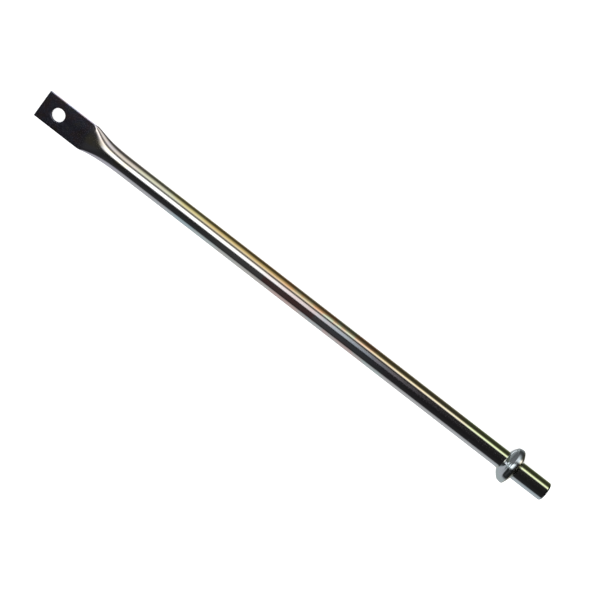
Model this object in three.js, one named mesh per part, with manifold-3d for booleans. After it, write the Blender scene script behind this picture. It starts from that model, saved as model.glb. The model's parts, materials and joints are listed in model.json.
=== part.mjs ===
// Bare shaft of a drill paint mixer: a steel tube with one end pressed flat and pierced for the
// mixing blade, a double-bevelled stop collar brazed on near the other end, and a steel plug
// inside the drive end so that the drill's chuck can't crush the tube.
// Millimetres. The origin is the centre of the drive end's face, on the shaft's axis.
// +X runs along the shaft to the pierced end, and +Z is square to the flat.
import * as THREE from 'three';
import { LoftGeometry } from 'three/addons/geometries/LoftGeometry.js';
import { mergeVertices } from 'three/addons/utils/BufferGeometryUtils.js';
import Module from 'manifold-3d';

// Tube
const LENGTH = 393;
const TUBE_D = 12.7;
const WALL = 1.5;
const RIM_ROUND = 1.4; // the turned rounding on the drive end's rim

// Pressed and pierced end
const FLAT_LENGTH = 35;
const PRESS_SPREAD = 0.5; // how much the press stretches the flat's width beyond a plain fold
const SQUARE_FROM = 0.8; // pressed share from which the half-round sides square up
const FLAT_CORNER_SHARE = 0.15; // rounding of the flat's long edges, as a share of half its thickness
const NECK_LENGTH = 36; // where the tube goes from round to flat
const NECK_POWER = 3; // how quickly the pressing dies away along the neck
const HOLE_D = 8.6;
const HOLE_FROM_END = 12.4;
const BORE_END_SHARE = 0.97; // the bore stops where the neck is pressed nearly shut

// Stop collar and its braze
const COLLAR_X = 27.7; // middle of the collar, from the drive end
const COLLAR_D = 24.8;
const COLLAR_BASE = 10;
const CREST_FROM = -2.2; // the crest's drive-side edge, along the shaft from the collar's middle
const CREST_TO = 1.8; // and its blade-side edge
const CREST_TOP = -1.4; // where the crest is highest
const CREST_R = 8; // radius of the crest's crown
const CREST_STEPS = 5; // one of the corners falls on the crest's top
const BRAZE_GAP = 0.05;
const BRAZE_HEIGHT = 0.7;
const BLADE_SIDE_BRAZE = 1.3; // how far each fillet runs along the tube
const DRIVE_SIDE_BRAZE = 1;

// Plug inside the drive end
const PLUG_LENGTH = 45;
const PLUG_CHAMFER = 0.8;

// Fineness of the curved surfaces
const SIDES = 48;
const HOLE_SIDES = 40;
const NECK_STEPS = 14;
const ROUND_STEPS = 4;

// The flat is both walls thick, and a little wider than folding the tube's middle line makes it.
const TUBE_R = TUBE_D / 2;
const BORE_R = TUBE_R - WALL;
const FLAT_THICK = 2 * WALL;
const FLAT_WIDTH = (Math.PI * TUBE_D) / 2 - (Math.PI - 2) * WALL + PRESS_SPREAD;
const FLAT_START = LENGTH - FLAT_LENGTH;
const NECK_START = FLAT_START - NECK_LENGTH;
const HALF_SIDE = Math.PI / SIDES; // turns a corner away from the axes, so a facet faces each one
const CORNER_SCALE = 1 / Math.cos(HALF_SIDE); // puts the facets, not the corners, on the circle

const wasm = await Module();
wasm.setup();

function toSolid(geometry) {
  const bare = new THREE.BufferGeometry().copy(geometry);
  bare.deleteAttribute('normal');
  bare.deleteAttribute('uv');
  const merged = mergeVertices(bare, 1e-5);
  return new wasm.Manifold(new wasm.Mesh({
    numProp: 3,
    vertProperties: new Float32Array(merged.attributes.position.array),
    triVerts: new Uint32Array(merged.index.array),
  }));
}

function toGeometry(solid) {
  const mesh = solid.getMesh();
  const geometry = new THREE.BufferGeometry();
  geometry.setAttribute('position', new THREE.BufferAttribute(mesh.vertProperties, 3));
  geometry.setIndex(new THREE.BufferAttribute(mesh.triVerts, 1));
  geometry.computeVertexNormals();
  return geometry;
}

function named(name, geometry, color, roughness) {
  const material = new THREE.MeshStandardMaterial({ color, roughness, metalness: 1 });
  const mesh = new THREE.Mesh(geometry, material);
  mesh.name = name;
  return mesh;
}

// A lathe turns about Y, so this lays its axis along X with the profile's start at x.
function layAlongX(mesh, x) {
  mesh.rotation.z = -Math.PI / 2;
  mesh.position.x = x;
  return mesh;
}

function turned(profile) {
  return new THREE.LatheGeometry(profile, SIDES, HALF_SIDE);
}

// A flat outline square to X, with its four corners rounded. It is a circle when width and height
// are both twice the rounding.
function outline(x, width, height, round) {
  const points = [];
  for (let i = 0; i < SIDES; i++) {
    const angle = HALF_SIDE + (i * 2 * Math.PI) / SIDES;
    const side = Math.sign(Math.cos(angle)) * (width / 2 - round);
    const level = Math.sign(Math.sin(angle)) * (height / 2 - round);
    const y = side + round * CORNER_SCALE * Math.cos(angle);
    const z = level + round * CORNER_SCALE * Math.sin(angle);
    points.push(new THREE.Vector3(x, y, z));
  }
  return points;
}

// How much of the full pressing the tube has at x: 0 where it is round, 1 where it is flat.
function pressedShare(x) {
  const along = THREE.MathUtils.clamp((x - NECK_START) / NECK_LENGTH, 0, 1);
  return along ** NECK_POWER;
}

// The tube's outline at x, drawn in by inset: 0 for the outside, the wall for the bore.
function tubeOutline(x, inset) {
  const share = pressedShare(x);
  const squared = THREE.MathUtils.smoothstep(share, SQUARE_FROM, 1);
  const width = TUBE_D + (FLAT_WIDTH - TUBE_D) * share - 2 * inset;
  const height = TUBE_D + (FLAT_THICK - TUBE_D) * share - 2 * inset;
  const round = (height / 2) * THREE.MathUtils.lerp(1, FLAT_CORNER_SHARE, squared);
  return outline(x, width, height, round);
}

// Places along the neck, closer together where it bends most, up to the given pressed share.
function neckPlaces(lastShare) {
  const last = lastShare ** (1 / NECK_POWER);
  const places = [];
  for (let i = 0; i <= NECK_STEPS; i++) {
    places.push(NECK_START + NECK_LENGTH * last * (1 - (1 - i / NECK_STEPS) ** 1.3));
  }
  return places;
}

function tubeOutside() {
  const sections = [];
  for (let i = 0; i <= ROUND_STEPS; i++) {
    const angle = (i / ROUND_STEPS) * (Math.PI / 2);
    const d = TUBE_D - 2 * RIM_ROUND * (1 - Math.sin(angle));
    sections.push(outline(RIM_ROUND * (1 - Math.cos(angle)), d, d, d / 2));
  }
  for (const x of neckPlaces(1)) sections.push(tubeOutline(x, 0));
  sections.push(tubeOutline(LENGTH, 0));
  return new LoftGeometry(sections, { capStart: true, capEnd: true });
}

function tubeBore() {
  const sections = [tubeOutline(-1, WALL)];
  for (const x of neckPlaces(BORE_END_SHARE)) sections.push(tubeOutline(x, WALL));
  return new LoftGeometry(sections, { capStart: true, capEnd: true });
}

function boltHole() {
  const hole = new THREE.CylinderGeometry(HOLE_D / 2, HOLE_D / 2, FLAT_THICK + 2, HOLE_SIDES);
  hole.rotateX(Math.PI / 2);
  hole.translate(LENGTH - HOLE_FROM_END, 0, 0);
  return hole;
}

function shaftTube() {
  const solid = toSolid(tubeOutside())
    .subtract(toSolid(tubeBore()))
    .subtract(toSolid(boltHole()));
  return named('shaft_tube', toGeometry(solid), 0xc9c6b4, 0.14);
}

// A point of the collar's crest at x, as a lathe takes it: radius first, then x.
function crestPoint(x) {
  const fall = CREST_R - Math.sqrt(CREST_R ** 2 - (x - CREST_TOP) ** 2);
  return new THREE.Vector2((COLLAR_D / 2 - fall) * CORNER_SCALE, x);
}

// Two bevels meeting in a narrow, crowned crest that is highest near its drive-side edge.
function stopCollar() {
  const inner = (TUBE_R + BRAZE_GAP) * CORNER_SCALE;
  const profile = [new THREE.Vector2(inner, -COLLAR_BASE / 2)];
  for (let i = 0; i <= CREST_STEPS; i++) {
    profile.push(crestPoint(THREE.MathUtils.lerp(CREST_FROM, CREST_TO, i / CREST_STEPS)));
  }
  profile.push(new THREE.Vector2(inner, COLLAR_BASE / 2));
  profile.push(profile[0].clone());
  return layAlongX(named('stop_collar', turned(profile), 0xaebcc0, 0.18), COLLAR_X);
}

// A hollow fillet of braze in the corner between the tube and one bevel of the collar.
// side is 1 on the blade side of the collar and -1 on the drive side.
function collarBraze(name, side, reach) {
  const inner = (TUBE_R + BRAZE_GAP) * CORNER_SCALE;
  const crest = crestPoint(side > 0 ? CREST_TO : CREST_FROM);
  const slope = (COLLAR_BASE / 2 - Math.abs(crest.y)) / (crest.x - inner);
  const root = COLLAR_BASE / 2 + BRAZE_GAP;
  const along = (radius) => root - (radius - inner) * slope;
  const top = inner + BRAZE_HEIGHT;
  const profile = new THREE.Path();
  profile.moveTo(inner, along(inner));
  profile.lineTo(top, along(top));
  profile.quadraticCurveTo(inner + 0.25 * BRAZE_HEIGHT, root + 0.2 * reach, inner, root + reach);
  profile.closePath();
  const points = profile.getPoints(ROUND_STEPS);
  if (side < 0) points.reverse();
  for (const point of points) point.y *= side;
  return layAlongX(named(name, turned(points), 0xb2b0a2, 0.25), COLLAR_X);
}

function shankPlug() {
  const radius = (BORE_R - BRAZE_GAP) * CORNER_SCALE;
  const profile = [
    new THREE.Vector2(0, 0),
    new THREE.Vector2(radius, 0),
    new THREE.Vector2(radius, PLUG_LENGTH - PLUG_CHAMFER),
    new THREE.Vector2(radius - PLUG_CHAMFER, PLUG_LENGTH),
    new THREE.Vector2(0, PLUG_LENGTH),
  ];
  return layAlongX(named('shank_plug', turned(profile), 0xb9bab6, 0.3), 0);
}

const mixerShaft = new THREE.Group();
mixerShaft.add(shaftTube());
mixerShaft.add(stopCollar());
mixerShaft.add(collarBraze('blade_side_braze', 1, BLADE_SIDE_BRAZE));
mixerShaft.add(collarBraze('drive_side_braze', -1, DRIVE_SIDE_BRAZE));
mixerShaft.add(shankPlug());

export default mixerShaft;
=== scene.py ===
"""Looks of the paint mixer shaft: plated tube, collar, braze and plug, in a light tent.

Lengths are metres. X runs along the shaft from the drive end to the pierced flat, and Z is square
to the flat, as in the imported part.
"""

import json
import math

import bmesh
import bpy
from mathutils import Matrix, Vector


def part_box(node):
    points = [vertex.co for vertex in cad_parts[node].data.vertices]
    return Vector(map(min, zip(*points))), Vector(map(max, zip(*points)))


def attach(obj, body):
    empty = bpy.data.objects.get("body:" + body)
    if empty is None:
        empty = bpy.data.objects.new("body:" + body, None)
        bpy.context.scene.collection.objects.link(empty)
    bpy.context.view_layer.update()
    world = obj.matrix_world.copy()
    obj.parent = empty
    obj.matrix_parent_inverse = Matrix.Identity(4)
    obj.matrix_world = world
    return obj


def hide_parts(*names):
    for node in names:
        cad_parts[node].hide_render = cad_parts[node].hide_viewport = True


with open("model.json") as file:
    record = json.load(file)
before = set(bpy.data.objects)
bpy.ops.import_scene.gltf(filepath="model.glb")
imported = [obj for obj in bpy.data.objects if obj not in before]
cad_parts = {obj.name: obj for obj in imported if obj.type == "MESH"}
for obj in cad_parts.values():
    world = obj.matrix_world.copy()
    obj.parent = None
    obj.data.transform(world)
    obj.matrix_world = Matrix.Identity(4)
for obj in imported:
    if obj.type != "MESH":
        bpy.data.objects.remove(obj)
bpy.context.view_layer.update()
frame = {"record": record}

MM = 0.001

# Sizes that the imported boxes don't give
FLAT_LENGTH = 35 * MM
NECK_LENGTH = 36 * MM
NECK_POWER = 3  # how quickly the pressing dies away along the neck
ROOT_SOFTNESS = 0.2  # how widely the bend at the flat's root is spread, as a share of the pressing
SQUARE_FROM = 0.8  # pressed share from which the half-round sides square up
FLAT_CORNER_SHARE = 0.15  # rounding of the flat's long edges, as a share of half its thickness
NECK_CROWN = 0.85  # how far the neck's sections are bowed from a slot towards an ellipse
HOLE_R = 4.3 * MM
RIM_ROUND = 1.4 * MM
CREST_R = 8 * MM  # the crest is crowned, highest near its drive-side edge
CREST_TOP = -1.4 * MM
CREST_FROM, CREST_TO = -2.2 * MM, 1.8 * MM
BLADE_SIDE_BOW, DRIVE_SIDE_BOW = 0.3 * MM, 0.1 * MM  # how far each bevel is bowed along X
BOW_OUTWARDS = 0.6  # how far it is bowed away from the axis, for that
BLADE_SIDE_CORNER, DRIVE_SIDE_CORNER = 0.7 * MM, 0.6 * MM  # rounding where each meets the crest
BORE_CHAMFER = 0.3 * MM

# Small things that a press, a shear and a torch leave
SHEAR_ROUND = 0.15 * MM
HOLE_STRETCH = 1.07  # the press leaves the hole a little longer than it is wide
HOLE_SQUEEZE = 0.99
HOLE_RIM_TOP = 0.12 * MM
HOLE_RIM_BOTTOM = 0.2 * MM
SLIT_HALF = 0.06 * MM
SLIT_END_HALF = 0.28 * MM  # the slit between the tube's walls opens a little at its two ends
SLIT_END_REACH = 0.6 * MM
ROOT_BULGE = 0.68 * MM  # metal pushed out sideways where the flat begins, on the -Y side
BULGE_BEFORE_FLAT = 3 * MM
BULGE_TO_FLAT, BULGE_TO_TUBE = 3.6 * MM, 9 * MM  # how far the bulge spreads each way
BULGE_POWER = 6  # keeps the bulge on the edge
JOINT_GAP = 0.05 * MM  # between the tube and the collar's bore
COLLAR_SKEW = 0.75 * MM  # of the collar's base, towards the blade side on +Y
CREST_LEAN = 1.2 * MM  # towards the drive side, on the crest's upper -Y quarter
LEAN_AT, LEAN_SPREAD = math.radians(45), math.radians(32)  # from +Z towards -Y

# Braze fillets: how far each runs along the tube and how high it stands
BLADE_FILLET = 0.55 * MM, 0.35 * MM
DRIVE_FILLET = 0.28 * MM, 0.20 * MM
FILLET_HOLLOW, FILLET_RUN = 2.1, 1.2  # powers that make its section hollow
FILLET_LEAN = 0.5  # how far the fillet runs up the bevel, for its height
FILLET_FULLER = 1.2  # how much fuller it is on the +Y side
FILLET_TIP = 0.01 * MM  # thickness left at its tip
FILLET_SINK, FILLET_SETBACK = 0.02 * MM, 0.2 * MM  # of its underside, into the tube and the collar
FILLET_WAVES = ((3, 0.10, 0.7), (7, 0.06, 2.1))  # turns, size and phase of its unevenness

# Plug in the drive end, with a centre dimple on its face
PLUG_RIM = 0.18 * MM
PLUG_TAIL_CHAMFER = 0.8 * MM
DIMPLE_R, DIMPLE_DEPTH = 0.9 * MM, 0.55 * MM
AXIS_R = 0.02 * MM  # the plug's outline stops just short of the axis

# Fineness
AROUND = 160
TURNED_SIDES = 144
HOLE_SIDES = PLUG_SIDES = 96
RIM_STEPS, STRAIGHT_STEPS, NECK_STEPS, FLAT_STEPS, SHEAR_STEPS = 10, 36, 60, 14, 4
BORE_STEPS = 24
PAST_NECK = 3 * MM  # the neck's close sections run on this far into the flat

# Camera: the direction to it is tipped from +Z towards -Y
VIEW_TIP = math.radians(10)
PICTURE_ROLL = math.radians(37.79)
LENS_MM = 97.2
CAMERA_AWAY = 1.0011
AIM_X, AIM_SIDE = 192.75 * MM, 1.03 * MM

# Light tent, in metres
TENT_R = 1.0
TENT_ENDS = (-9.0, 9.0)
TENT_SIDES = 180
TENT_PEAK = 1.5  # its brightest cloth

# Floor, soft light and room
FLOOR_HALF = 9.0
FLOOR_SHIFT = 0.2  # of its middle, from the collar towards the blade end
FLOOR_GAP = 0.02 * MM
FLOOR_GLOW = 0.72
LIGHT_SIZE, LIGHT_WATTS, LIGHT_PLACE = 3.0, 34, (0.2, 0, 2.4)
ROOM_COLOR, ROOM_STRENGTH = (0.86, 0.90, 0.91, 1), 0.55

record = frame["record"]
mounts = {m["name"]: m for m in record["mounts"]}
tube_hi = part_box("shaft_tube")[1]
collar_lo, collar_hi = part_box("stop_collar")
plug_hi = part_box("shank_plug")[1]

LENGTH = tube_hi.x
TUBE_R = tube_hi.z
FLAT_HALF_WIDTH = tube_hi.y
FLAT_HALF_THICK = mounts["flat_upper"]["pos_m"][2]
WALL = FLAT_HALF_THICK
FLAT_START = LENGTH - FLAT_LENGTH
NECK_START = FLAT_START - NECK_LENGTH
opening = record["physics"]["openings"][0]["box_m"]
HOLE_X = (opening[0][0] + opening[1][0]) / 2
COLLAR_X = (collar_lo.x + collar_hi.x) / 2
COLLAR_R = collar_hi.z
COLLAR_HALF = (collar_hi.x - collar_lo.x) / 2


# ---------------------------------------------------------------- mesh helpers


def new_object(name, mesh):
    obj = bpy.data.objects.new(name, mesh)
    bpy.context.scene.collection.objects.link(obj)
    return obj


def mesh_from_rings(name, rings, cap_start=False, cap_end=False, closed_loop=False):
    """Skins rings of equally many points. closed_loop joins the last ring to the first."""
    bm = bmesh.new()
    rows = [[bm.verts.new(p) for p in ring] for ring in rings]
    count = len(rows[0])
    pairs = list(zip(rows, rows[1:]))
    if closed_loop:
        pairs.append((rows[-1], rows[0]))
    for a, b in pairs:
        for i in range(count):
            j = (i + 1) % count
            bm.faces.new((a[i], a[j], b[j], b[i]))
    if cap_start:
        bm.faces.new(list(reversed(rows[0])))
    if cap_end:
        bm.faces.new(rows[-1])
    bmesh.ops.recalc_face_normals(bm, faces=bm.faces)
    for face in bm.faces:
        face.smooth = True
    mesh = bpy.data.meshes.new(name)
    bm.to_mesh(mesh)
    bm.free()
    return mesh


def turned_rings(profile, sides=TURNED_SIDES):
    """Rings about the X axis for (x, radius) pairs."""
    angles = [2 * math.pi * i / sides for i in range(sides)]
    return [[Vector((x, r * math.cos(a), r * math.sin(a))) for a in angles] for x, r in profile]


def sharpen(obj, degrees):
    obj.data.set_sharp_from_angle(angle=math.radians(degrees))


def finish_piece(obj, node, material):
    obj.data.materials.clear()
    obj.data.materials.append(material)
    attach(obj, "root")
    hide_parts(node)
    return obj


# ---------------------------------------------------------------- shaft tube


def soft_min(a, b, k):
    h = max(k - abs(a - b), 0) / k
    return min(a, b) - h * h * k / 4


def pressed_share(x):
    """0 where the tube is round, 1 where it is flat, with the root's bend spread out."""
    if x <= NECK_START:
        return 0.0
    return soft_min(((x - NECK_START) / NECK_LENGTH) ** NECK_POWER, 1.0, ROOT_SOFTNESS)


def rounded_outline(x, half_width, half_height, squared, crown=0.0):
    """Points round a section square to X: half-round sides at squared 0, nearly square at 1.

    crown bows the outline towards an ellipse of the same width and height.
    """
    corner = half_height * (1 + (FLAT_CORNER_SHARE - 1) * squared)
    fineness = 1 + 2 * squared  # puts more of the points on a tight corner
    wall, curve, flat = half_height - corner, math.pi / 2 * corner * fineness, half_width - corner
    points = []
    for i in range(AROUND):
        along = (i + 0.5) / AROUND * 4
        quadrant = int(along)
        share = along - quadrant
        if quadrant % 2:
            share = 1 - share
        distance = share * (wall + curve + flat)  # from the middle of the side to that of the top
        if distance < wall:
            y, z = half_width, distance
        elif distance < wall + curve:
            angle = (distance - wall) / (corner * fineness)
            y, z = flat + corner * math.cos(angle), wall + corner * math.sin(angle)
        else:
            y, z = flat - (distance - wall - curve), half_height
        turn = math.pi / 2 * share
        y += (half_width * math.cos(turn) - y) * crown
        z += (half_height * math.sin(turn) - z) * crown
        if quadrant in (1, 2):
            y = -y
        if quadrant in (2, 3):
            z = -z
        points.append(Vector((x, y, z)))
    return points


def squared_share(share):
    t = max(0.0, (share - SQUARE_FROM) / (1 - SQUARE_FROM))
    return t * t * (3 - 2 * t)


def neck_crown(share):
    return NECK_CROWN * (1 - share**2)


def outer_ring(x, inset=0.0):
    share = pressed_share(x)
    half_width = TUBE_R + (FLAT_HALF_WIDTH - TUBE_R) * share - inset
    half_height = TUBE_R + (FLAT_HALF_THICK - TUBE_R) * share - inset
    ring = rounded_outline(x, half_width, half_height, squared_share(share), neck_crown(share))
    from_bulge = x - (FLAT_START - BULGE_BEFORE_FLAT)
    spread = BULGE_TO_FLAT if from_bulge > 0 else BULGE_TO_TUBE
    bulge = ROOT_BULGE * math.exp(-((from_bulge / spread) ** 2))
    for p in ring:
        side = max(0.0, -p.y / half_width)
        p.y -= bulge * side**BULGE_POWER
    return ring


def inner_ring(x):
    share = pressed_share(x)
    half_width = TUBE_R + (FLAT_HALF_WIDTH - TUBE_R) * share - WALL
    half_height = max(TUBE_R + (FLAT_HALF_THICK - TUBE_R) * share - WALL, SLIT_HALF)
    ring = rounded_outline(x, half_width, half_height, 0.0, neck_crown(share))
    for p in ring:
        to_side = (half_width - abs(p.y)) / SLIT_END_REACH
        end_half = SLIT_END_HALF * share * math.exp(-to_side * to_side) * min(1, to_side * 4)
        p.z += math.copysign(end_half, p.z)
    return ring


def tube_mesh():
    outer = []
    for i in range(RIM_STEPS + 1):
        a = math.pi / 2 * i / RIM_STEPS
        outer.append(outer_ring(RIM_ROUND * (1 - math.cos(a)), RIM_ROUND * (1 - math.sin(a))))
    for i in range(1, STRAIGHT_STEPS):
        outer.append(outer_ring(RIM_ROUND + (NECK_START - RIM_ROUND) * i / STRAIGHT_STEPS))
    for i in range(NECK_STEPS + 1):
        outer.append(outer_ring(NECK_START + (NECK_LENGTH + PAST_NECK) * i / NECK_STEPS))
    flat_from = FLAT_START + PAST_NECK
    flat_to = LENGTH - SHEAR_ROUND
    for i in range(1, FLAT_STEPS):
        outer.append(outer_ring(flat_from + (flat_to - flat_from) * i / FLAT_STEPS))
    for i in range(SHEAR_STEPS + 1):
        a = math.pi / 2 * i / SHEAR_STEPS
        inset = SHEAR_ROUND * (1 - math.cos(a))
        outer.append(outer_ring(flat_to + SHEAR_ROUND * math.sin(a), inset))
    inner_places = [0.0, 0.02, 0.1, 0.2, NECK_START]  # the straight bore needs few sections
    for i in range(1, BORE_STEPS + 1):
        inner_places.append(NECK_START + NECK_LENGTH * (i / BORE_STEPS) ** 0.7)
    inner_places += [FLAT_START + 8 * MM, FLAT_START + 20 * MM, LENGTH]
    inner = [inner_ring(x) for x in reversed(inner_places)]
    return mesh_from_rings("plated_tube", outer + inner, closed_loop=True)


def hole_cutter():
    """A punch that leaves both rims of the hole slightly rounded."""
    top, bottom = HOLE_RIM_TOP, HOLE_RIM_BOTTOM
    t, past = FLAT_HALF_THICK, 1 * MM
    quarter = [math.pi / 2 * i / 6 for i in range(7)]
    profile = [(-t - past, HOLE_R + bottom)]
    for a in quarter:
        level = -t + bottom - bottom * math.cos(a)
        profile.append((level, HOLE_R + bottom - bottom * math.sin(a)))
    for a in quarter:
        level = t - top + top * math.sin(a)
        profile.append((level, HOLE_R + top - top * math.cos(a)))
    profile.append((t + past, HOLE_R + top))
    mesh = mesh_from_rings("hole_cutter", turned_rings(profile, HOLE_SIDES), True, True)
    stand_up = Matrix.Rotation(-math.pi / 2, 4, "Y")
    press = Matrix.Diagonal((HOLE_STRETCH, HOLE_SQUEEZE, 1, 1))
    mesh.transform(Matrix.Translation((HOLE_X, 0, 0)) @ press @ stand_up)
    return new_object("hole_cutter", mesh)


def build_tube(plate, sheared):
    obj = new_object("plated_tube", tube_mesh())
    cutter = hole_cutter()
    cut = obj.modifiers.new("punched_hole", "BOOLEAN")
    cut.operation = "DIFFERENCE"
    cut.solver = "EXACT"
    cut.object = cutter
    bpy.context.view_layer.objects.active = obj
    bpy.ops.object.modifier_apply(modifier=cut.name)
    bpy.data.objects.remove(cutter)
    finish_piece(obj, "shaft_tube", plate)
    # the second material paints shade, as a near-black colour, on the hole's wall and the flat's
    # sheared end
    obj.data.materials.append(sheared)
    for face in obj.data.polygons:
        face.use_smooth = True
        middle = face.center
        from_hole = math.hypot((middle.x - HOLE_X) / HOLE_STRETCH, middle.y / HOLE_SQUEEZE)
        in_hole = from_hole < HOLE_R + 0.01 * MM and abs(middle.z) < FLAT_HALF_THICK
        at_end = face.normal.x > 0.9 and middle.x > LENGTH - 0.1 * MM
        face.material_index = 1 if in_hole or at_end else 0
    sharpen(obj, 32)
    return obj


# ---------------------------------------------------------------- collar, braze and plug


def rounded_corner(a, corner, b, steps):
    """Points of the curve that leaves a towards the corner and arrives at b from it."""
    points = []
    for i in range(1, steps):
        t = i / steps
        weights = (1 - t) ** 2, 2 * t * (1 - t), t * t
        points.append(tuple(sum(w * p[k] for w, p in zip(weights, (a, corner, b))) for k in (0, 1)))
    return points


def crest_point(x):
    """(x, radius) on the crowned crest."""
    return x, COLLAR_R - CREST_R + math.sqrt(CREST_R**2 - (x - CREST_TOP) ** 2)


def bevel(base_x, crest_x, corner, bow, steps=14):
    """(x, radius) pairs up one slightly bowed bevel, and round its corner on to the crest."""
    inner = TUBE_R + JOINT_GAP
    top = crest_point(crest_x)
    run, rise = top[0] - base_x, top[1] - inner
    reach = 1 - corner / math.hypot(run, rise)
    points = []
    for i in range(steps + 1):
        push = math.sin(math.pi * i / steps)
        t = reach * i / steps
        x = base_x + run * t + math.copysign(bow, base_x) * push
        points.append((x, inner + rise * t + bow * push * BOW_OUTWARDS))
    onto = crest_point(crest_x - math.copysign(corner, base_x))
    return points + rounded_corner(points[-1], top, onto, 6) + [onto]


def collar_profile():
    """(x, radius) pairs: up the blade side's bevel, over the crest, down the drive side's bevel."""
    blade_side = bevel(COLLAR_HALF, CREST_TO, BLADE_SIDE_CORNER, BLADE_SIDE_BOW)
    drive_side = bevel(-COLLAR_HALF, CREST_FROM, DRIVE_SIDE_CORNER, DRIVE_SIDE_BOW)
    start, end = blade_side[-1][0], drive_side[-1][0]
    crest = [crest_point(start + (end - start) * i / 12) for i in range(1, 12)]
    inner = TUBE_R + JOINT_GAP
    bore_half = COLLAR_HALF - BORE_CHAMFER
    bore = [(-bore_half, inner), (bore_half, inner)]
    return blade_side + crest + drive_side[::-1] + bore


def build_collar(material):
    rings = turned_rings([(COLLAR_X + x, r) for x, r in collar_profile()])
    for ring in rings:
        for p in ring:
            r = math.hypot(p.y, p.z)
            low = 1 - (r - TUBE_R) / (COLLAR_R - TUBE_R)
            p.x += COLLAR_SKEW * low * p.y / r
            from_lean = (math.atan2(-p.y, p.z) - LEAN_AT) / LEAN_SPREAD
            p.x -= CREST_LEAN * (1 - low) * math.exp(-from_lean * from_lean)
    obj = new_object("beaded_collar", mesh_from_rings("beaded_collar", rings, closed_loop=True))
    sharpen(obj, 50)
    return finish_piece(obj, "stop_collar", material)


def fillet_ring(root, side, reach, height, t):
    """One ring of a fillet: t is 0 at its top on the bevel and 1 at its tip on the tube."""
    ring = []
    for i in range(TURNED_SIDES):
        a = 2 * math.pi * i / TURNED_SIDES
        size = 1 + sum(share * math.sin(turns * a + phase) for turns, share, phase in FILLET_WAVES)
        size *= 1 + FILLET_FULLER * max(0.0, math.cos(a))
        hollow = (1 - t) ** FILLET_HOLLOW
        r = TUBE_R + FILLET_TIP + height * size * hollow
        up_bevel = FILLET_LEAN * height * size * (1 - t) ** FILLET_RUN
        along = reach * size * t**FILLET_RUN - up_bevel
        shift = COLLAR_SKEW * math.cos(a) * (1 - 0.5 * hollow)
        ring.append(Vector((root + side * along + shift, r * math.cos(a), r * math.sin(a))))
    return ring


def build_braze(name, node, side, size, material):
    """A hollow fillet. side is 1 on the blade side of the collar and -1 on the drive side."""
    steps = 10
    root = COLLAR_X + side * COLLAR_HALF
    rings = [fillet_ring(root, side, *size, i / steps) for i in range(steps + 1)]
    under_r = TUBE_R - FILLET_SINK
    under = []
    for i, (tip, top) in enumerate(zip(rings[-1], rings[0])):
        a = 2 * math.pi * i / TURNED_SIDES
        x = (tip.x + top.x) / 2 - side * FILLET_SETBACK
        under.append(Vector((x, under_r * math.cos(a), under_r * math.sin(a))))
    obj = new_object(name, mesh_from_rings(name, rings + [under], closed_loop=True))
    sharpen(obj, 50)
    return finish_piece(obj, node, material)


def build_plug(material):
    radius = plug_hi.z
    depth = DIMPLE_DEPTH
    profile = [(depth, AXIS_R), (depth - 0.05 * MM, 0.15 * MM), (0.02 * MM, DIMPLE_R)]
    profile += [(0, DIMPLE_R + 0.1 * MM), (0, radius - PLUG_RIM), (PLUG_RIM, radius)]
    tail_x, tail_r = plug_hi.x - PLUG_TAIL_CHAMFER, radius - PLUG_TAIL_CHAMFER
    profile += [(tail_x, radius), (plug_hi.x, tail_r), (plug_hi.x, AXIS_R)]
    mesh = mesh_from_rings("end_plug", turned_rings(profile, PLUG_SIDES), True, True)
    obj = new_object("end_plug", mesh)
    sharpen(obj, 25)
    return finish_piece(obj, "shank_plug", material)


# ---------------------------------------------------------------- materials


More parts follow.
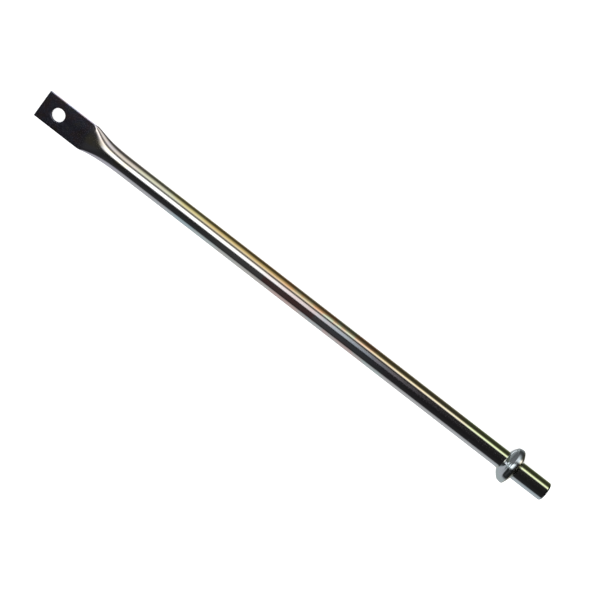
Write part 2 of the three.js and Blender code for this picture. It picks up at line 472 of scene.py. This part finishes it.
class Nodes:
    """Short names for building a node tree."""

    def __init__(self, name):
        self.material = bpy.data.materials.new(name)
        self.material.use_nodes = True
        self.tree = self.material.node_tree
        self.shader = self.tree.nodes["Principled BSDF"]

    def add(self, kind, **values):
        node = self.tree.nodes.new(kind)
        for key, value in values.items():
            setattr(node, key, value)
        return node

    def link(self, a, b):
        self.tree.links.new(a, b)

    def math(self, operation, a, b=None, c=None, clamp=False):
        node = self.add("ShaderNodeMath", operation=operation, use_clamp=clamp)
        for i, value in enumerate((a, b, c)):
            if value is None:
                continue
            if isinstance(value, (int, float)):
                node.inputs[i].default_value = value
            else:
                self.link(value, node.inputs[i])
        return node.outputs[0]

    def position(self, scale=(1, 1, 1)):
        coords = self.add("ShaderNodeTexCoord")
        mapping = self.add("ShaderNodeMapping")
        mapping.inputs["Scale"].default_value = scale
        self.link(coords.outputs["Object"], mapping.inputs["Vector"])
        return mapping.outputs["Vector"]

    def noise(self, scale, detail=2.0, stretch=(1, 1, 1), rough=0.5):
        node = self.add("ShaderNodeTexNoise")
        node.inputs["Scale"].default_value = scale
        node.inputs["Detail"].default_value = detail
        node.inputs["Roughness"].default_value = rough
        self.link(self.position(stretch), node.inputs["Vector"])
        return node.outputs["Fac"]

    def ramp(self, fac, stops, mode="LINEAR"):
        node = self.add("ShaderNodeValToRGB")
        node.color_ramp.interpolation = mode
        elements = node.color_ramp.elements
        while len(elements) > 1:
            elements.remove(elements[-1])
        elements[0].position = stops[0][0]
        elements[0].color = (*stops[0][1], 1)
        for place, color in stops[1:]:
            elements.new(place).color = (*color, 1)
        self.link(fac, node.inputs["Fac"])
        return node.outputs["Color"]

    def between(self, value, start, end):
        """0 at start and 1 at end, easing in and out."""
        node = self.add("ShaderNodeMapRange", interpolation_type="SMOOTHSTEP")
        node.inputs["From Min"].default_value = start
        node.inputs["From Max"].default_value = end
        self.link(value, node.inputs["Value"])
        return node.outputs["Result"]

    def mix(self, factor, a, b):
        node = self.add("ShaderNodeMix", data_type="RGBA")
        self.link(factor, node.inputs["Factor"])
        for place, color in ((6, a), (7, b)):  # the node's two colour inputs
            self.link(color, node.inputs[place])
        return node.outputs[2]

    def bump(self, height, distance, under=None):
        node = self.add("ShaderNodeBump")
        node.inputs["Strength"].default_value = 1.0
        node.inputs["Distance"].default_value = distance
        self.link(height, node.inputs["Height"])
        if under is not None:
            self.link(under, node.inputs["Normal"])
        return node.outputs["Normal"]


# Colours of the passivated film along the shaft, from the drive end (0) to the pierced end (1):
# on the side towards -Y, along the top and on the side towards +Y
FILM_NEAR = [
    (0.00, (0.68, 0.77, 0.36)), (0.13, (0.68, 0.79, 0.36)), (0.21, (0.78, 0.70, 0.40)),
    (0.33, (0.80, 0.62, 0.27)), (0.37, (0.86, 0.50, 0.24)), (0.41, (0.66, 0.71, 0.42)),
    (0.44, (0.88, 0.48, 0.20)), (0.48, (0.74, 0.64, 0.34)), (0.51, (0.86, 0.49, 0.19)),
    (0.57, (0.82, 0.58, 0.22)), (0.64, (0.84, 0.64, 0.25)), (0.71, (0.83, 0.73, 0.31)),
    (0.77, (0.80, 0.80, 0.54)), (0.85, (0.86, 0.76, 0.64)), (0.93, (0.74, 0.72, 0.80)),
]
FILM_TOP = [
    (0.00, (0.82, 0.80, 0.79)), (0.27, (0.84, 0.77, 0.86)), (0.35, (0.72, 0.79, 0.90)),
    (0.40, (0.74, 0.82, 0.90)), (0.46, (0.88, 0.76, 0.77)), (0.52, (0.86, 0.78, 0.79)),
    (0.60, (0.86, 0.86, 0.86)), (0.84, (0.84, 0.84, 0.86)), (0.885, (0.84, 0.77, 0.60)),
    (0.915, (0.80, 0.75, 0.62)), (0.93, (0.73, 0.72, 0.82)),
]
FILM_FAR = [
    (0.00, (0.70, 0.82, 0.88)), (0.14, (0.78, 0.81, 0.84)), (0.29, (0.80, 0.80, 0.82)),
    (0.34, (0.70, 0.82, 0.82)), (0.40, (0.88, 0.70, 0.68)), (0.46, (0.72, 0.80, 0.82)),
    (0.51, (0.90, 0.68, 0.64)), (0.60, (0.80, 0.80, 0.77)), (0.65, (0.76, 0.84, 0.84)),
    (0.72, (0.64, 0.80, 0.87)), (0.79, (0.74, 0.75, 0.79)), (0.93, (0.74, 0.72, 0.84)),
]
# Colours of the mottled film on the flat, by the value of its noise
FILM_FLAT = [
    (0.28, (0.42, 0.43, 0.36)), (0.40, (0.46, 0.36, 0.42)), (0.50, (0.40, 0.38, 0.52)),
    (0.60, (0.36, 0.39, 0.52)), (0.72, (0.54, 0.52, 0.52)),
]
# Where the rose patches fade in and out along the shaft
ROSE_BEGINS = (0.150, 0.166)
ROSE_ENDS = (0.232, 0.214)
ROSE_STRENGTH = 0.9
# How far noise shifts the film's colours along the shaft, as a share of its length
BROAD_SHIFT, PATCH_SHIFT = 0.12, 0.16
# How much the plate's roughness varies in smears and in spots
SMEAR_ROUGH, SPOT_ROUGH = 0.08, 0.03
GRAIN_HEIGHT = 0.0015 * MM


def tube_film(n):
    """The film on the tube: it drifts along the shaft and round it, in soft patches."""
    split = n.add("ShaderNodeSeparateXYZ")
    n.link(n.position(), split.inputs["Vector"])
    broad = n.noise(40, 2.0, (1, 1.6, 1.6))
    broad = n.math("MULTIPLY_ADD", broad, BROAD_SHIFT, -BROAD_SHIFT / 2)
    patches = n.noise(120, 2.0, (1, 1.2, 1.2))
    patches = n.math("MULTIPLY_ADD", patches, PATCH_SHIFT, -PATCH_SHIFT / 2)
    along = n.math("ADD", n.math("MULTIPLY_ADD", split.outputs["X"], 1 / LENGTH, broad), patches)
    near = n.ramp(along, FILM_NEAR, "EASE")
    top = n.ramp(along, FILM_TOP, "EASE")
    far = n.ramp(along, FILM_FAR, "EASE")
    to_near = n.between(split.outputs["Y"], -0.2 * TUBE_R, -0.8 * TUBE_R)
    to_far = n.between(split.outputs["Y"], 0.1 * TUBE_R, 0.65 * TUBE_R)
    drift = n.mix(to_far, n.mix(to_near, top, near), far)
    rose = n.math("MULTIPLY", rose_share(n, split), ROSE_STRENGTH)
    tube = n.mix(rose, drift, one_film(n, (0.90, 0.40, 0.38), (0.86, 0.56, 0.54), 90))
    on_flat = n.between(split.outputs["X"], FLAT_START - 2 * MM, FLAT_START + 4 * MM)
    return n.mix(on_flat, tube, n.ramp(n.noise(150, 3.0, rough=0.6), FILM_FLAT))


def rose_share(n, split):
    """Where the film has a rose tint: patches just past the top towards +Y, about the middle."""
    x, y = split.outputs["X"], split.outputs["Y"]
    begins = n.between(x, *ROSE_BEGINS)
    ends = n.between(x, *ROSE_ENDS)
    past_top = n.between(y, -0.12 * TUBE_R, 0.10 * TUBE_R)
    before_side = n.between(y, 0.62 * TUBE_R, 0.42 * TUBE_R)
    patchy = n.between(n.noise(62, 1.0), 0.42, 0.52)
    share = n.math("MULTIPLY", begins, ends)
    for part in (past_top, before_side, patchy):
        share = n.math("MULTIPLY", share, part)
    return share


def one_film(n, light, dark, scale):
    """A film of nearly one colour, a little uneven."""
    return n.ramp(n.noise(scale, 3.0, rough=0.6), [(0.3, light), (0.7, dark)])


def plated(n, film, rough, wave_height, line_height):
    """Bright zinc plate: soft waves, drawing lines along the shaft, and a smeared gloss."""
    n.link(film, n.shader.inputs["Base Color"])
    n.shader.inputs["Metallic"].default_value = 1.0
    smear = n.noise(240, 4.0, (0.12, 1, 1), 0.65)
    spots = n.noise(900, 2.0)
    worn = n.math("MULTIPLY_ADD", smear, SMEAR_ROUGH, rough - SMEAR_ROUGH / 2)
    fine = n.math("MULTIPLY_ADD", spots, SPOT_ROUGH, worn, clamp=True)
    n.link(fine, n.shader.inputs["Roughness"])
    waves = n.bump(n.noise(110, 1.0, (0.25, 1, 1)), wave_height)
    lines = n.bump(n.noise(2600, 2.0, (0.012, 1, 1)), line_height, under=waves)
    grain = n.bump(n.noise(1700, 1.0), GRAIN_HEIGHT, under=lines)
    n.link(grain, n.shader.inputs["Normal"])
    return n.material


def tube_plate():
    n = Nodes("zinc_plate_tube")
    return plated(n, tube_film(n), 0.11, wave_height=0.04 * MM, line_height=0.004 * MM)


def collar_plate():
    n = Nodes("zinc_plate_collar")
    teal = one_film(n, (0.64, 0.77, 0.77), (0.74, 0.79, 0.86), 160)
    gold = one_film(n, (0.84, 0.82, 0.60), (0.86, 0.80, 0.66), 300)
    split = n.add("ShaderNodeSeparateXYZ")
    n.link(n.position(), split.inputs["Vector"])
    drive_side = n.between(split.outputs["X"], COLLAR_X - 1.2 * MM, COLLAR_X - 2.6 * MM)
    film = n.mix(drive_side, teal, gold)
    return plated(n, film, 0.15, wave_height=0.03 * MM, line_height=0.002 * MM)


def braze_plate():
    n = Nodes("zinc_plate_braze")
    film = one_film(n, (0.62, 0.74, 0.76), (0.78, 0.80, 0.74), 260)
    return plated(n, film, 0.20, wave_height=0.08 * MM, line_height=0.002 * MM)


def sheared_face_shade():
    """Plate over a punched or sheared face, which is scored through the thickness; its near-black
    colour is painted shade.
    """
    n = Nodes("sheared_face_painted_shade")
    # painted shade: the hole's wall and the flat's sheared end are coloured near black to stand in
    # for their shade
    film = one_film(n, (0.09, 0.09, 0.10), (0.04, 0.04, 0.045), 900)
    n.link(film, n.shader.inputs["Base Color"])
    n.shader.inputs["Metallic"].default_value = 0.2
    n.shader.inputs["Specular IOR Level"].default_value = 0.25
    n.shader.inputs["Roughness"].default_value = 0.6
    n.link(n.bump(n.noise(2200, 3.0, (1, 1, 0.08)), 0.05 * MM), n.shader.inputs["Normal"])
    return n.material


def turned_steel():
    n = Nodes("plug_face_steel")
    rings = n.add("ShaderNodeTexWave", wave_type="RINGS", rings_direction="X")
    rings.inputs["Scale"].default_value = 1600
    rings.inputs["Distortion"].default_value = 1.2
    n.link(n.position(), rings.inputs["Vector"])
    grey = n.ramp(n.noise(500, 3.0), [(0.2, (0.50, 0.50, 0.48)), (0.8, (0.68, 0.68, 0.66))])
    n.link(grey, n.shader.inputs["Base Color"])
    n.shader.inputs["Metallic"].default_value = 1.0
    n.link(n.math("MULTIPLY_ADD", rings.outputs["Fac"], 0.12, 0.24), n.shader.inputs["Roughness"])
    n.link(n.bump(rings.outputs["Fac"], 0.01 * MM), n.shader.inputs["Normal"])
    return n.material


# ---------------------------------------------------------------- stage

to_camera = Vector((0, -math.sin(VIEW_TIP), math.cos(VIEW_TIP)))
shaft_right = Vector((-1, 0, 0))  # runs to the right in the picture before it is rolled
picture_side = to_camera.cross(shaft_right)  # up in the picture before it is rolled


def build_camera():
    right = math.cos(PICTURE_ROLL) * shaft_right + math.sin(PICTURE_ROLL) * picture_side
    up = to_camera.cross(right)
    aim = Vector((AIM_X, 0, 0)) + AIM_SIDE * picture_side
    data = bpy.data.cameras.new("camera")
    data.lens = LENS_MM
    data.sensor_width = 36
    data.clip_start, data.clip_end = 0.05, 50
    camera = new_object("camera", data)
    place = Matrix((right, up, to_camera)).transposed().to_4x4()
    camera.matrix_world = Matrix.Translation(aim + to_camera * CAMERA_AWAY) @ place
    bpy.context.scene.camera = camera


def build_floor():
    """The floor touches the collar's rim and the tube where its neck begins, as the part lies."""
    rest_a = Vector((COLLAR_X, 0, -COLLAR_R))
    rest_b = Vector((NECK_START, 0, -TUBE_R))
    along = (rest_b - rest_a).normalized()
    up = along.cross(Vector((0, 1, 0)))
    middle = rest_a + along * FLOOR_SHIFT
    corners = []
    for sx, sy in ((-1, -1), (1, -1), (1, 1), (-1, 1)):
        corners.append(middle + along * sx * FLOOR_HALF + Vector((0, sy * FLOOR_HALF, 0)))
    mesh = bpy.data.meshes.new("floor")
    mesh.from_pydata([c - up * FLOOR_GAP for c in corners], [], [(0, 1, 2, 3)])
    floor = new_object("floor", mesh)
    n = Nodes("pale_floor")
    n.shader.inputs["Roughness"].default_value = 0.9
    n.shader.inputs["Specular IOR Level"].default_value = 0.0
    tone = n.ramp(n.noise(3, 2.0), [(0.0, (0.80, 0.80, 0.80)), (1.0, (0.84, 0.84, 0.84))])
    n.link(tone, n.shader.inputs["Base Color"])
    n.shader.inputs["Emission Color"].default_value = (1, 1, 1, 1)
    n.shader.inputs["Emission Strength"].default_value = FLOOR_GLOW
    floor.data.materials.append(n.material)
    floor.visible_glossy = False


# Brightness round the tent, in degrees from the camera's direction towards the upper side of the
# picture
BLADE_HALF = [
    (-180, 0.46), (-125, 0.48), (-104, 0.50), (-95, 0.42), (-90, 0.28), (-83, 0.03), (-40, 0.018),
    (-20, 0.014), (-13, 0.14), (-6, 1.50), (20, 1.50), (29, 0.20), (35, 0.10), (42, 0.22),
    (50, 0.72), (56, 0.92), (64, 0.90), (76, 0.66), (84, 0.40), (94, 0.14), (106, 0.06),
    (126, 0.06), (142, 0.25), (180, 0.46),
]
DRIVE_HALF = [
    (-180, 0.46), (-125, 0.48), (-104, 0.48), (-95, 0.40), (-90, 0.26), (-83, 0.02), (-30, 0.012),
    (0, 0.014), (30, 0.018), (38, 0.03), (44, 0.80), (50, 1.35), (58, 1.30), (66, 0.30),
    (76, 0.04), (106, 0.04), (126, 0.06), (142, 0.25), (180, 0.46),
]
FAR_PART = [
    (-180, 0.46), (-125, 0.48), (-100, 0.40), (-85, 0.10), (-60, 0.04), (-20, 0.028), (14, 0.04),
    (45, 0.15), (100, 0.16), (126, 0.12), (142, 0.25), (180, 0.46),
]
# Along the tent, in metres: where the blade half's cloth takes over from the drive half's, where
# the far part's takes over from both, and how far the cloth beyond the drive end is shaded
BLADE_CLOTH = [
    (-9.0, 0), (0.04, 0), (0.09, 0.13), (0.15, 0.46), (0.22, 0.70), (0.32, 1), (9.0, 1),
]
FAR_CLOTH = [(-9.0, 0), (0.77, 0), (1.01, 1), (9.0, 1)]
SHADED_END = [(-9.0, 0.12), (-0.9, 0.12), (-0.4, 1), (9.0, 1)]
# Cards on the cloth: a window in degrees round, a window in metres along, and the brightness.
# The first lights the side of the pressed flat, the second the collar's drive-side bevel, and the
# third is a faint haze below the middle of the shaft. The last two light the tent's far end.
CARDS = [
    ((147, 153, 166, 172), (0.49, 0.51, 0.61, 0.63), 1.0),
    ((158, 165, 177, 180), (-0.78, -0.74, -0.61, -0.56), 0.8),
    ((-78, -66, -24, -18), (0.02, 0.12, 0.30, 0.36), 0.03),
    ((90, 100, 181, 182), (3.9, 4.6, 10, 11), 1.3),
    ((-14, -6, 20, 29), (1.55, 1.75, 10, 11), 1.3),
]


def along_tent(n, x, stops):
    """A grey value for each place along the tent."""
    start, end = TENT_ENDS
    share = n.math("MULTIPLY_ADD", x, 1 / (end - start), -start / (end - start))
    return n.ramp(share, [((metres - start) / (end - start), (v,) * 3) for metres, v in stops])


def window(n, value, rise_from, rise_to, fall_from, fall_to):
    """1 inside a stretch of values, fading to 0 on both sides."""
    rise = n.between(value, rise_from, rise_to)
    return n.math("MULTIPLY", rise, n.between(value, fall_to, fall_from))


def along_direction(n, y, z, direction):
    """How far (y, z) lies along a direction square to the shaft."""
    return n.math("ADD", n.math("MULTIPLY", y, direction.y), n.math("MULTIPLY", z, direction.z))


def build_tent():
    """A drum of cloth round the shaft with dark and lit bands. Only reflections show it."""
    rings = turned_rings([(x, TENT_R) for x in TENT_ENDS], TENT_SIDES)
    tent = new_object("light_tent", mesh_from_rings("light_tent", rings))
    n = Nodes("tent_cloth")
    n.tree.nodes.remove(n.shader)
    split = n.add("ShaderNodeSeparateXYZ")
    n.link(n.position(), split.inputs["Vector"])
    x, y, z = (split.outputs[axis] for axis in "XYZ")
    toward = along_direction(n, y, z, to_camera)
    aside = along_direction(n, y, z, picture_side)
    degrees = n.math("MULTIPLY", n.math("ARCTAN2", aside, toward), 180 / math.pi)
    turn = n.math("MULTIPLY_ADD", degrees, 1 / 360, 0.5)
    bands = []
    for stops in (DRIVE_HALF, BLADE_HALF, FAR_PART):
        scaled = [((angle + 180) / 360, (v / TENT_PEAK,) * 3) for angle, v in stops]
        bands.append(n.ramp(turn, scaled))
    near_part = n.mix(along_tent(n, x, BLADE_CLOTH), bands[0], bands[1])
    cloth = n.mix(along_tent(n, x, FAR_CLOTH), near_part, bands[2])
    lit = n.math("MULTIPLY", cloth, along_tent(n, x, SHADED_END))
    for round_window, along_window, brightness in CARDS:
        card = n.math("MULTIPLY", window(n, degrees, *round_window), window(n, x, *along_window))
        lit = n.math("MAXIMUM", lit, n.math("MULTIPLY", card, brightness))
    glow = n.add("ShaderNodeEmission")
    n.link(n.math("MULTIPLY", lit, TENT_PEAK), glow.inputs["Strength"])
    n.link(glow.outputs["Emission"], n.tree.nodes["Material Output"].inputs["Surface"])
    tent.data.materials.append(n.material)
    for kind in ("camera", "diffuse", "shadow", "transmission"):
        setattr(tent, f"visible_{kind}", False)


def build_lights():
    data = bpy.data.lights.new("soft_light", "AREA")
    data.shape = "SQUARE"
    data.size = LIGHT_SIZE
    data.energy = LIGHT_WATTS
    light = new_object("soft_light", data)
    light.location = LIGHT_PLACE
    light.visible_glossy = False
    light.visible_camera = False
    world = bpy.data.worlds.new("pale_room")
    world.use_nodes = True
    background = world.node_tree.nodes["Background"]
    background.inputs["Color"].default_value = ROOM_COLOR
    background.inputs["Strength"].default_value = ROOM_STRENGTH
    bpy.context.scene.world = world
    bpy.context.scene.view_settings.view_transform = "Standard"


build_camera()
build_tube(tube_plate(), sheared_face_shade())
build_collar(collar_plate())
fillet_plate = braze_plate()
build_braze("blade_side_fillet", "blade_side_braze", 1, BLADE_FILLET, fillet_plate)
build_braze("drive_side_fillet", "drive_side_braze", -1, DRIVE_FILLET, fillet_plate)
build_plug(turned_steel())
build_floor()
build_tent()
build_lights()
